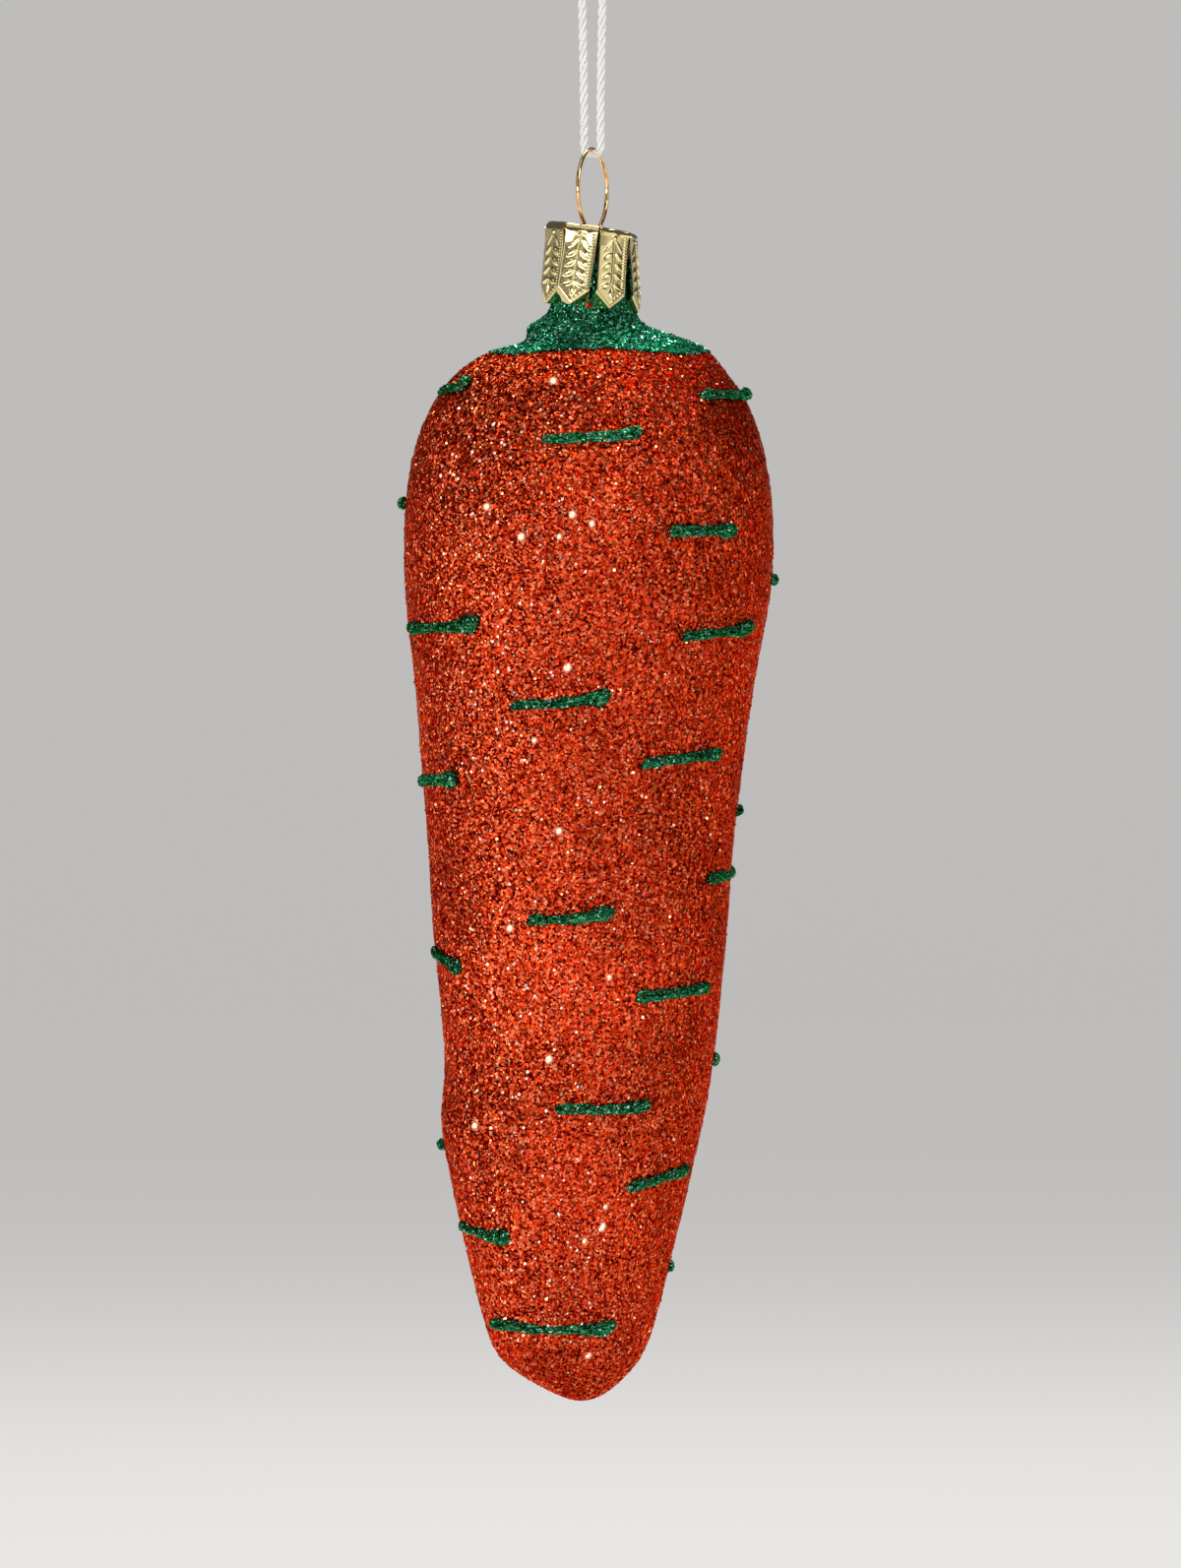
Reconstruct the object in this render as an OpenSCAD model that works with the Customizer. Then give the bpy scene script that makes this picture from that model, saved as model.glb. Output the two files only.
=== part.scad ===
// Blown glass carrot ornament with a glitter coat, a stamped crown cap, a spring wire hanger and a cord loop.
// Millimetres. Z is up, the front faces -Y. The origin is inside the top of the cord loop, where a hook sits.

/* [Carrot] */
// Length from the shoulder down to the tip, over the coat
body_len = 125.7; // [100:0.1:150]
// Largest radius, over the coat
body_r = 22.3; // [18:0.1:28]
// Thickness of the glass
glass_wall = 0.9; // [0.6:0.1:1.5]
// Thickness of the orange glitter coat
coat_t = 0.45; // [0.3:0.05:0.8]
// Thickness of the green glitter crown
crown_t = 0.6; // [0.4:0.05:0.9]

/* [Neck] */
// Outer radius of the straight neck
neck_r = 4.6; // [4.3:0.05:4.8]
// Wall of the straight neck
neck_wall = 0.6; // [0.4:0.05:0.8]
// Length of neck between the tips of the cap's tabs and the root of the neck
neck_show = 0.05; // [0.05:0.05:4]
// Height of the flare from the neck's root down to the shoulder
flare_h = 4.05; // [3.5:0.05:7]

/* [Piped dashes] */
// Width of a dash on the coat
dash_w = 1.35; // [0.8:0.05:2]
// Height of a dash above the coat
dash_h = 0.6; // [0.4:0.05:1.2]

/* [Crown cap] */
// Thickness of the sheet
sheet_t = 0.3; // [0.2:0.05:0.4]
// Distance from the cap's axis to the start of each fold
flat_a = 4.4; // [4.4:0.05:5.5]
// Outer radius of the fold between the top and a tab
fold_r = 0.9; // [0.7:0.05:1.2]
// Width of a tab
tab_w = 4; // [3:0.05:4.1]
// Length of a tab's straight sides, below the fold
tab_len = 6.95; // [6:0.05:9]
// Length of a tab's pointed end
tab_point = 1.9; // [1:0.1:3]
// Angle at which the tabs spread outwards
tab_flare = 4.5; // [4:0.5:8]
// Angle at which the cap sits crooked, its right side down
cap_tilt = 8.5; // [0:0.5:9]
// Height of the stamped twig above its tab
twig_h = 0.12; // [0.08:0.01:0.2]

/* [Wire hanger] */
// Diameter of the wire
wire_d = 0.5; // [0.4:0.05:0.6]
// Radius of the ring, to the middle of the wire
ring_r = 4.85; // [4:0.05:7]
// Radius of the bend where the ring turns into a leg
waist_r = 0.8; // [0.6:0.05:1]
// Distance between the two legs where they pass the cap
leg_gap = 5; // [4:0.1:5]
// Length of a leg below the waist
leg_len = 11; // [8:0.5:14]
// How far a leg bows out between its ends
leg_bow = 0.85; // [0.4:0.05:0.9]

/* [Cord] */
// Diameter of the cord
cord_d = 1; // [0.8:0.05:1.05]

/* [Hidden] */
$fn = 48;

// Clearances between pieces that move or seat
wire_on_cord_gap = 0.1;
wire_hole_gap = 0.2;
rim_gap = 0.15;

// Where the round of the ring faces, and how the tabs are turned, seen from above
hanger_turn = 21;
tab_turn = 32;
tab_count = 8;

// One strand of the cord loop from the knot down to the bight: distance from the middle, then height
strand = [
    [-0.6, 2.2], [-0.9, 1], [-1.4, -0.6], [-1.6, -2.4], [-1.5, -4.6], [-1.3, -7], [-1.2, -11],
    [-1.1, -16], [-1.05, -21], [-1.05, -23.6], [-0.95, -24.5], [-0.55, -25]
];
bight_z = -25.1;
knot_r = 1.35;
knot_low = 1.9;
knot_high = 4.7;
knot_round = 0.6;
tail_len = 1.7;
tail_sink = 0.7;
tail_lean = 20;
cord_sides = 8;
wire_sides = 10;

// Heights, each from the one above it
wire_top_z = bight_z + cord_d / 2 + wire_on_cord_gap + wire_d / 2;
ring_z = wire_top_z - ring_r;
leg_u = leg_gap / 2;
waist_angle = asin((leg_u + waist_r) / (ring_r + waist_r));
waist_z = ring_z - (ring_r + waist_r) * cos(waist_angle);
rim_z = waist_z - sheet_t / 2 - neck_r * tan(cap_tilt) - rim_gap;
tab_reach = fold_r + tab_len + tab_point + (flat_a + fold_r) * sin(cap_tilt);
root_z = waist_z + sheet_t / 2 - tab_reach - neck_show;
neck_len = rim_z - root_z;
crown_z = root_z - flare_h;

// The legs' arc
leg_r = (pow(leg_len / 2, 2) + pow(leg_bow, 2)) / (2 * leg_bow);
leg_splay = asin(leg_len / 2 / leg_r);

// Radii of the glass
glass_r = body_r - coat_t;
glass_len = body_len - coat_t;
bore_r = neck_r - neck_wall;
root_step = 0.6;
root_r = neck_r + root_step;
root_lip = 0.1;
// How far the green coat climbs the neck, how thick it is there, and the height of its spread foot
climb_h = 6;
climb_t = 0.15;
foot_h = 1.8;
climb_lap = 0.03;

// Outline of the flare: percent of its height, percent of the way out, lean in percent of glass_r
flare_shape = [[0, 0, 0], [27, 19, -3], [51, 39, -2], [72, 62.5, 5]];
// Outline of the carrot: percent of its length, percent of glass_r, lean in percent of glass_r
body_shape = [
    [0, 48, 10], [0.4, 56.5, 5], [1.1, 64.5, 2], [2.6, 73.3, -1], [4.8, 84, -1], [9.5, 94.5, -2],
    [14, 98.5, -2], [20, 100, -2], [26, 96.5, -3], [32.5, 90, -4.5], [42, 85, -6], [48.5, 80.5, -6.5],
    [54, 80, -7], [68.5, 70.5, -6.3], [72.5, 71, -11], [76.5, 67, -12], [87.5, 52.5, -12.5],
    [94, 43, -12.5], [96.5, 35.5, -12.3], [98.3, 21.5, -8.5], [99.5, 11, -6.5], [100, 0, -6]
];
crown_r = glass_r * body_shape[0][1] / 100;
profile = concat(
    [for (s = flare_shape)
        [flare_h * (s[0] / 100 - 1), root_r + (crown_r - root_r) * s[1] / 100, glass_r * s[2] / 100]],
    [for (s = body_shape) [glass_len * s[0] / 100, glass_r * s[1] / 100, glass_r * s[2] / 100]]
);
crown_u = len(flare_shape);
tip_u = len(profile) - 1;

// The grid that the glass and its coats share
sides = 36;
crown_rings = 6;
body_rings = 24;
// The green edge rises and dips four times round the shoulder, and the rings beside it follow
edge_drop = 1.6;
edge_u = crown_u + edge_drop;
edge_wave = 0.3;
edge_reach = 3;
ring_us = concat(
    [for (i = [0:crown_rings - 1]) edge_u * i / crown_rings],
    [for (i = [0:body_rings - 1]) edge_u + (tip_u - edge_u) * i / body_rings]
);

// Piped dashes: first and last angle from the front, percent of the length, rise to the right, sag
dashes = [
    [-76, -54, 4.1, 0.8, 0.3], [44, 85, 4.75, 0.15, 0], [-15, 17, 8.8, 0.6, 0.2], [-112, -90, 14.9, 0, 0],
    [25.5, 51, 17.5, 0.2, 0.1], [88, 110, 21.9, 0, 0], [-79, -37, 26.5, 0.3, 0.1], [32, 65, 27, 1.2, 0.2],
    [-25.5, 8.5, 33.9, 1, 0.3], [21, 57, 39, 1.2, 0], [-84, -51.5, 40.7, 0.1, 0], [90, 112, 43.6, 0, 0],
    [58, 104, 50.2, 1.4, 0], [-20.5, 13, 54.4, 0.65, 0.3], [-84, -55, 58.2, -2.1, 0], [23, 63, 61.1, 1.1, 0],
    [90, 112, 67.5, 0.4, 0], [-8, 34, 72, 0.2, 0.4], [-114, -92, 76.7, 0, 0], [29, 70, 79.2, 1.2, 0],
    [-80, -35, 83.5, -1.3, 0], [86, 112, 86.8, 0.5, 0], [-63, 32, 92.5, -0.6, 0.5],
    [135, 170, 4.2, 0.3, 0], [190, 228, 4.6, 0.2, 0.2], [128, 160, 12, 0.4, 0], [175, 210, 18, 0.4, 0],
    [150, 190, 30, 0.6, 0], [215, 245, 23, 0.5, 0], [135, 170, 38, 0.8, 0], [190, 232, 36, 0.8, 0],
    [150, 185, 48, 0.6, 0], [205, 240, 52.5, 0.8, 0], [140, 175, 61, 0.8, 0], [185, 225, 66, 0.8, 0],
    [150, 195, 76, 0.8, 0], [195, 240, 86.5, 0.8, 0]
];
// How deep a dash sinks into the coat
dash_sink = 0.15;
// Stations along a dash, and how full it is at each
dash_stations = [[0, 0.5], [0.06, 1], [0.2, 0.95], [0.5, 0.9], [0.8, 1], [0.93, 1.2], [1, 0.65]];
dash_sides = 6;

// The stamped twig on a tab
twig_pairs = 5;
twig_top = 0.5;
twig_step = 1;
needle_w = 0.4;
needle_drop = 0.8;
needle_margin = 0.45;
stem_w = 0.24;
fold_steps = 6;
lap = 0.8;

function dash_name(i) = str("dash_", i < 9 ? "0" : "", i + 1);

// A smooth curve through a list of points, where u counts the points
function nearest(list, i) = list[max(0, min(len(list) - 1, i))];
function curve(list, u) =
    let (
        i = min(len(list) - 2, floor(u)),
        t = u - i,
        a = nearest(list, i - 1),
        b = list[i],
        c = list[i + 1],
        d = nearest(list, i + 2)
    )
    0.5 * (2 * b + (c - a) * t + (2 * a - 5 * b + 4 * c - d) * t * t + (3 * b - a - 3 * c + d) * t * t * t);

function unit(v) = v / norm(v);

// Which way the outline faces at u: outwards, then up
u_step = 0.05;
function facing(u) =
    let (run = curve(profile, min(tip_u, u + u_step)) - curve(profile, max(0, u - u_step)))
    u > tip_u - u_step ? [0, -1] : unit([run[0], run[1]]);

// A point on the glass at u and an angle from the front, raised by a height along the way that it faces
function skin(u, angle, raise) =
    let (p = curve(profile, u), f = facing(u), r = p[1] + raise * f[0])
    [p[2] + r * sin(angle), -r * cos(angle), crown_z - p[0] + raise * f[1]];

function edge_shift(i, angle) =
    -edge_wave * cos(4 * angle) * max(0, 1 - abs(i - crown_rings) / edge_reach);
function skin_ring(i, raise) =
    [for (j = [0:sides - 1])
        let (angle = 360 * j / sides)
        skin(ring_us[i] + edge_shift(i, angle), angle, raise)];

// Faces of a closed shell between an outer and an inner stack of rings, with a rim or a pole at the bottom
function at(ring, j, inner, count) = (inner ? count * sides : 0) + ring * sides + j % sides;
function quad(a, b, c, d) = [[a, b, c], [a, c, d]];
function shell_faces(count, pole) = concat(
    [for (i = [0:count - 2], j = [0:sides - 1]) each
        quad(at(i, j, false, count), at(i, j + 1, false, count), at(i + 1, j + 1, false, count),
             at(i + 1, j, false, count))],
    [for (i = [0:count - 2], j = [0:sides - 1]) each
        quad(at(i, j, true, count), at(i + 1, j, true, count), at(i + 1, j + 1, true, count),
             at(i, j + 1, true, count))],
    [for (j = [0:sides - 1]) each
        quad(at(0, j, false, count), at(0, j, true, count), at(0, j + 1, true, count),
             at(0, j + 1, false, count))],
    pole
        ? [for (j = [0:sides - 1]) each [
              [at(count - 1, j, false, count), at(count - 1, j + 1, false, count), 2 * count * sides],
              [at(count - 1, j + 1, true, count), at(count - 1, j, true, count), 2 * count * sides + 1]
          ]]
        : [for (j = [0:sides - 1]) each
              quad(at(count - 1, j, false, count), at(count - 1, j + 1, false, count),
                   at(count - 1, j + 1, true, count), at(count - 1, j, true, count))]
);
module shell(outer, inner, poles) {
    polyhedron(
        points = concat([for (ring = outer) each ring], [for (ring = inner) each ring], poles),
        faces = shell_faces(len(outer), len(poles) > 0)
    );
}

// Closed solid swept through rings of as many points each, with flat ends
module sweep(rings) {
    n = len(rings[0]);
    last = len(rings) - 1;
    polyhedron(
        points = [for (ring = rings) each ring],
        faces = concat(
            [for (i = [0:last - 1], j = [0:n - 1]) each
                quad(i * n + j, i * n + (j + 1) % n, (i + 1) * n + (j + 1) % n, (i + 1) * n + j)],
            [[for (j = [n - 1:-1:0]) j], [for (j = [0:n - 1]) last * n + j]]
        )
    );
}

// Hollow blown carrot, whose flat rim carries the straight neck
module glass_shell() {
    rings = [0:len(ring_us) - 1];
    color("lightcyan") {
        shell(
            [for (i = rings) i == 0 ? flat_ring(root_r, root_z) : skin_ring(i, 0)],
            [for (i = rings) i == 0 ? flat_ring(bore_r - root_lip, root_z) : skin_ring(i, -glass_wall)],
            [skin(tip_u, 0, 0), skin(tip_u, 0, -glass_wall)]
        );
        translate([0, 0, root_z])
            difference() {
                cylinder(r = neck_r, h = neck_len);
                translate([0, 0, -neck_len])
                    cylinder(r = bore_r, h = 3 * neck_len);
            }
    }
}

module orange_glitter_coat() {
    rings = [crown_rings:len(ring_us) - 1];
    color("orangered")
        shell(
            [for (i = rings) skin_ring(i, coat_t)],
            [for (i = rings) skin_ring(i, 0)],
            [skin(tip_u, 0, coat_t), skin(tip_u, 0, 0)]
        );
}

function flat_ring(r, z) =
    [for (j = [0:sides - 1]) let (angle = 360 * j / sides) [r * sin(angle), -r * cos(angle), z]];

// The crown thins out towards the neck and climbs it under the cap
module green_glitter_crown() {
    rings = [0:crown_rings];
    thin_rings = 2;
    thin_share = 0.25;
    outer = [for (i = rings) skin_ring(i, crown_t * min(1, thin_share + (1 - thin_share) * i / thin_rings))];
    inner = [for (i = rings) skin_ring(i, 0)];
    climb_r = neck_r + climb_t;
    color("darkgreen")
        shell(
            concat([flat_ring(climb_r, root_z + climb_h), flat_ring(climb_r, root_z + foot_h)], outer),
            concat([flat_ring(neck_r, root_z + climb_h), flat_ring(neck_r, root_z + climb_lap)], inner),
            []
        );
}

// Height along the outline for a drop below the green edge, on the coat's own rings
drop_us = [for (u = ring_us) [curve(profile, u)[0], u]];
function dash_point(d, t) =
    let (
        drop = glass_len * d[2] / 100 - d[3] * (t - 0.5) + d[4] * (1 - pow(2 * t - 1, 2)),
        u = lookup(drop, drop_us),
        angle = d[0] + (d[1] - d[0]) * t
    )
    [skin(u, angle, coat_t), [facing(u)[0] * sin(angle), -facing(u)[0] * cos(angle), facing(u)[1]]];

// Domed bead of glitter glue along a short stroke
function dash_ring(d, station) =
    let (
        t = station[0],
        full = station[1],
        place = dash_point(d, t),
        along = unit(dash_point(d, t + 0.01)[0] - dash_point(d, t - 0.01)[0]),
        across = cross(place[1], along)
    )
    [for (k = [0:dash_sides - 1])
        let (turn = 180 * k / (dash_sides - 1))
        place[0] + across * dash_w / 2 * full * cos(turn)
            + place[1] * ((dash_h * full + dash_sink) * sin(turn) - dash_sink)];
module dash(i) {
    color("seagreen")
        sweep([for (station = dash_stations) dash_ring(dashes[i], station)]);
}

// Section of the sheet from the flat top over the fold and down a tab
function fold_section(flare) =
    let (
        turns = [for (k = [0:fold_steps]) 90 - (90 - flare) * k / fold_steps],
        centre = [flat_a, -fold_r],
        down = (tab_len + tab_point) * [sin(flare), -cos(flare)],
        face = [cos(flare), sin(flare)]
    )
    concat(
        [[flat_a - lap, 0]],
        [for (a = turns) centre + fold_r * [cos(a), sin(a)]],
        [centre + fold_r * face + down, centre + (fold_r - sheet_t) * face + down],
        [for (k = [fold_steps:-1:0]) centre + (fold_r - sheet_t) * [cos(turns[k]), sin(turns[k])]],
        [[flat_a - lap, -sheet_t]]
    );

// Seats children on the outer face of a tab, just below its fold, with X outwards
module on_tab(flare) {
    translate([flat_a + fold_r * cos(flare), 0, fold_r * (sin(flare) - 1)])
        rotate([0, -flare, 0])
            children();
}

// Extrudes a drawing of a tab outwards
module outwards(from, to) {
    translate([from, 0, 0])
        rotate([90, 0, 90])
            linear_extrude(to - from)
                children();
}

// Tab that widens over its fold from its root, beside a slit, and ends in a point
tab_slit = 0.15;
tab_shoulder = 0.25;
tab_root = 2 * flat_a * tan(180 / tab_count) - tab_slit;
module tab(flare) {
    tip = tab_len + tab_point;
    reach = tab_w + 1;
    intersection() {
        rotate([90, 0, 0])
            linear_extrude(reach, center = true)
                polygon(fold_section(flare));
        on_tab(flare)
            outwards(-2 * flat_a, 1)
                polygon([
                    [-tab_root / 2, 2 * fold_r], [tab_root / 2, 2 * fold_r], [tab_root / 2, fold_r],
                    [tab_w / 2, -tab_shoulder], [tab_w / 2, -tab_len], [0, -tip], [-tab_w / 2, -tab_len],
                    [-tab_w / 2, -tab_shoulder], [-tab_root / 2, fold_r]
                ]);
    }
}

// Fir twig with drooping needles, as one outline
function twig_side(side) =
    let (reach = tab_w / 2 - needle_margin)
    [for (k = [0:twig_pairs - 1])
        let (z = -twig_top - twig_step * k)
        each [
            [side * stem_w / 2, z], [side * reach, z - needle_drop],
            [side * reach, z - needle_drop - needle_w], [side * stem_w / 2, z - needle_w]
        ]];
function backwards(list) = [for (i = [len(list) - 1:-1:0]) list[i]];
module twig() {
    foot = -twig_top - twig_step * twig_pairs - needle_w;
    polygon(concat(twig_side(1), [[stem_w / 2, foot], [-stem_w / 2, foot]], backwards(twig_side(-1))));
}

// Eight tabs folded down from an eight-sided top with two holes for the wire
module crown_cap() {
    color("khaki")
        translate([0, 0, waist_z])
            rotate([0, cap_tilt, 0])
                translate([0, 0, sheet_t / 2])
                    difference() {
                        union() {
                            rotate([0, 0, tab_turn + 180 / tab_count])
                                translate([0, 0, -sheet_t])
                                    cylinder(r = flat_a / cos(180 / tab_count), h = sheet_t, $fn = tab_count);
                            for (k = [0:tab_count - 1]) {
                                turn = tab_turn + 360 * k / tab_count;
                                flare = tab_flare + cap_tilt * cos(turn);
                                rotate([0, 0, turn]) {
                                    tab(flare);
                                    on_tab(flare)
                                        outwards(-sheet_t / 2, twig_h)
                                            twig();
                                }
                            }
                        }
                        rotate([0, 0, -hanger_turn])
                            for (side = [-1, 1])
                                translate([0, side * leg_u, -2 * sheet_t])
                                    cylinder(d = wire_d + 2 * wire_hole_gap, h = 4 * sheet_t);
                    }
}

// Round rod along a route in the plane of X and Z
module rod(route, d, rod_sides) {
    sweep([for (i = [0:len(route) - 1])
        let (p = route[i], way = unit(nearest(route, i + 1) - nearest(route, i - 1)))
        [for (k = [0:rod_sides - 1])
            let (turn = 360 * k / rod_sides, out = d / 2 * cos(turn))
            [p[0] - out * way[1], d / 2 * sin(turn), p[1] + out * way[0]]]]);
}

// Points on an arc, from one angle to another
function arc(centre, r, from, to, steps) =
    [for (k = [0:steps]) let (a = from + (to - from) * k / steps) centre + r * [cos(a), sin(a)]];
function tail(list) = [for (i = [1:len(list) - 1]) list[i]];

// One half of the hanger, from the top of the ring over the waist and down a bowed leg
ring_centre = [0, ring_z];
waist_centre = ring_centre + (ring_r + waist_r) * [sin(waist_angle), -cos(waist_angle)];
leg_centre = waist_centre - (waist_r + leg_r) * [cos(leg_splay), sin(leg_splay)];
half_hanger = concat(
    arc(ring_centre, ring_r, 90, waist_angle - 90, 14),
    tail(arc(waist_centre, waist_r, 90 + waist_angle, 180 + leg_splay, 5)),
    tail(arc(leg_centre, leg_r, leg_splay, -leg_splay, 6))
);

module wire_hanger() {
    color("peru")
        rotate([0, 0, 90 - hanger_turn])
            rod(
                concat([for (p = backwards(tail(half_hanger))) [-p[0], p[1]]], half_hanger),
                wire_d,
                wire_sides
            );
}

// The whole route of the cord, down one strand, under the ring and up the other
cord_route = concat(strand, [[0, bight_z]], [for (p = backwards(strand)) [-p[0], p[1]]]);

module hanging_cord() {
    color("white")
        rotate([0, 0, -hanger_turn])
            rod(cord_route, cord_d, cord_sides);
}

// Rounded knot with the two ends of the cord standing out of it
module cord_knot() {
    knot_core = knot_r - knot_round;
    corner = [for (k = [0:fold_steps]) 90 * k / fold_steps];
    color("white") {
        rotate_extrude()
            polygon(concat(
                [[0, knot_low]],
                [for (a = corner) [knot_core + knot_round * sin(a), knot_low + knot_round * (1 - cos(a))]],
                [for (a = corner) [knot_core + knot_round * cos(a), knot_high - knot_round * (1 - sin(a))]],
                [[0, knot_high]]
            ));
        rotate([0, 0, -hanger_turn])
            for (side = [-1, 1])
                translate([side * knot_r / 2, 0, knot_high - tail_sink])
                    rotate([0, side * tail_lean, 0])
                        cylinder(d = cord_d, h = tail_sink + tail_len);
    }
}

glass_shell();
orange_glitter_coat();
green_glitter_crown();
crown_cap();
wire_hanger();
hanging_cord();
cord_knot();
for (i = [0:len(dashes) - 1])
    dash(i);
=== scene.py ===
import math
import random

import bmesh
import bpy
from mathutils import Matrix, Vector, noise
from mathutils.bvhtree import BVHTree


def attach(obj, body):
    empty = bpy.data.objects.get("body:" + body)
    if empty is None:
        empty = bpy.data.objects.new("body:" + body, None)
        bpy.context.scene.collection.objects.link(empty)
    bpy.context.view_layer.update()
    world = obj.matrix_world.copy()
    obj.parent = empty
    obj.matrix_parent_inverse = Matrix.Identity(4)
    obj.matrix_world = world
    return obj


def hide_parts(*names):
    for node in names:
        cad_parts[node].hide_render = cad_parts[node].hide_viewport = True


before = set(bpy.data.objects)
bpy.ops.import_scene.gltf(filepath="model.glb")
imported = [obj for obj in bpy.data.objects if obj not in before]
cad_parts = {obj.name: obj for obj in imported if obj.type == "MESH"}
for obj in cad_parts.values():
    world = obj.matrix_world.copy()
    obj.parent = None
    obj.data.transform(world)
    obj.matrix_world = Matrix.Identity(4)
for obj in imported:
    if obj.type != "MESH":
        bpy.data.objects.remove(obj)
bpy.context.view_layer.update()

MM = 0.001

# Points nearer to each other than this are at the same place
TOUCH = 0.001 * MM
# Points nearer than these are merged in a copied node, and where the cap's tabs meet
NODE_MERGE = 0.005 * MM
TAB_MERGE = 0.012 * MM

# The camera stands level in front of the carrot
CAMERA_AWAY = 1500 * MM
CAMERA_X = -0.235 * MM
CAMERA_Z = -100.1 * MM
VIEW_HEIGHT = 187.41 * MM
SENSOR = 36

# The ring's plane and the way that the cord passes through it
HANGER_TURN = math.radians(21)
RING_WAY = Vector((math.sin(HANGER_TURN), math.cos(HANGER_TURN), 0))
CORD_WAY = Vector((math.cos(HANGER_TURN), -math.sin(HANGER_TURN), 0))

# Cord: one strand from the knot down to the bight, as distance from the middle and height in mm
STRAND = [
    (-0.6, 2.2), (-0.9, 1), (-1.4, -0.6), (-1.6, -2.4), (-1.5, -4.6), (-1.3, -7), (-1.2, -11),
    (-1.1, -16), (-1.05, -21), (-1.05, -23.6), (-0.95, -24.5), (-0.55, -25),
]
BIGHT_Z = -25.1
# Below this height the bight is pressed flat under the ring
PRESS_Z = -24.5 * MM
PRESS = 0.66
PLIES = 3
PLY_LEAD = 3.8 * MM
PLY_OFFSET = 0.29 * MM
PLY_R = 0.255 * MM
PLY_STRETCH = 1.06
PLY_SIDES = 12
PLY_STEP = 0.12 * MM
# Points worked out between two points of a route, before they are spaced evenly
ROUTE_STEPS = 40

# Knot, in mm: the cord's end wound round both strands and drawn in at its ends, then two short tails
KNOT_R = 0.86
KNOT_LOW = 2.3
KNOT_HIGH = 4.3
KNOT_TURNS = 2.6
KNOT_STEPS = 40
KNOT_END_SHARE = 0.08
KNOT_DRAWN_IN = 0.45
TAIL_OUT = 0.675
TAIL_FOOT = 4
TAIL_LEN = 2.35
TAIL_LEAN = math.radians(20)
TAIL_ROOT = [(0.42, 2.4), (0.4, 3.2), (TAIL_OUT, 4.2)]

# Wire hanger
WIRE_R = 0.25 * MM
RING_R = 4.85 * MM
RING_Z = -29.1 * MM
WAIST_R = 0.8 * MM
LEG_U = 2.5 * MM
LEG_LEN = 11 * MM
LEG_BOW = 0.85 * MM
WIRE_SIDES = 16
RING_STEPS = 72
WAIST_STEPS = 18
LEG_STEPS = 24

# Crown cap
CAP_TABS = 8
CAP_TURN = math.radians(32)
CAP_TILT = math.radians(8.5)
SHEET_T = 0.3 * MM
FLAT_A = 4.4 * MM
FOLD_R = 0.9 * MM
TAB_W = 4 * MM
TAB_LEN = 6.95 * MM
TAB_POINT = 1.9 * MM
TAB_FLARE = math.radians(4.5)
TAB_COLUMNS = 46
TAB_ROWS = 98
FOLD_STEPS = 9
HOLE_R = 0.45 * MM
HOLE_SIDES = 28
DENT = 0.09 * MM
DENT_SPACING = 1.1 * MM
WAIST_ANGLE = math.asin((LEG_U + WAIST_R) / (RING_R + WAIST_R))
CAP_Z = RING_Z - (RING_R + WAIST_R) * math.cos(WAIST_ANGLE)

# A tab falls away on both sides of its middle line, and its stamping starts a little below the fold, in mm
TAB_FALL = 0.06
TAB_CROWN = 0.03
BOW_FADE = 1.5
STAMP_FADE = 0.2
# Leaves of the twig and the drop below it: height, middle, half length, half width and slope in degrees
LEAVES = [
    (0.14, (0.68, 1.4), 0.95, 0.17, 52),
    (0.22, (0.8, 2.7), 0.74, 0.33, 40),
    (0.22, (0.8, 3.9), 0.74, 0.33, 38),
    (0.22, (0.8, 5.1), 0.74, 0.33, 33),
    (0.22, (0.8, 6.3), 0.74, 0.33, 24),
    (0.2, (0, 7), 0.78, 0.28, 90),
]
STEM_ENDS = (0.8, 6.2)
STEM_HALF = 0.17
STEM_H = 0.06
DOT_DOWN = 0.4
DOT_R = 0.3
DOT_H = 0.2
# Pearls in a row along one side, and the edge that rolls back
PEARL_IN = 0.42
PEARL_HALF = 0.16
PEARL_SPACING = 0.36
PEARL_H = 0.13
EDGE_ROLL = 0.22
EDGE_DROP = 0.07
# Stamped height in mm above which the gold is lightest, rubbed wear on the high points, while the flat ground
# below is darker as painted shade, and how light the fold is
BRIGHT_H = 0.12
FOLD_SHINE = 0.7

# Glass: the rounding of the neck's rim
NECK_ROUND = 0.2 * MM
NECK_BAND = 0.01 * MM

# Glitter coats. What stands farther from the glass than the first length is a coat's outer wall
COAT_LEAST = 0.06 * MM
COAT_CUTS = 3
COAT_FRAY = 0.3 * MM
GRAIN = 0.24 * MM
GRAIN_TILT = 1.1
CROWN_SHADE = (0.93, 0.87, 0.86)
DASH_SHADE = (0.95, 0.74, 0.6)

# Piped dashes in mm: the swelling all over, its waver and its grains
DASH_SWELL = 0.04
DASH_WAVER = 0.28
DASH_WAVER_SPACING = 1.3
DASH_GRAIN = 0.11
# The share of a dash that hooks at each end
HOOK_SHARE = 0.16
# Dashes whose right end swelled more than most, in mm
FAT_ENDS = {"bead_07": 0.45, "bead_09": 0.32, "bead_11": 0.36, "bead_15": 0.26, "bead_21": 0.36}

# Loose flakes, strewn only below a height, clear of the cap's tabs
FLAKES_TOP = -45 * MM
FLAKE_SIDES = 6
FLAKE_DEPTH = 0.9
FLAKE_R = 0.165 * MM
FLAKE_SIZES = (0.7, 1.15)
FLAKE_LIFTS = (0.25, 0.6)
FLAKE_TILT = 0.3
# Marks by which the finish tells the flakes apart and paints their highlights and halos
LOOSE_MARK = 1.0
HALO_MARK = 1.05
SPARK_MARKS = (1.2, 1.9)
GLINT_MARK = 2.0

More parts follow.
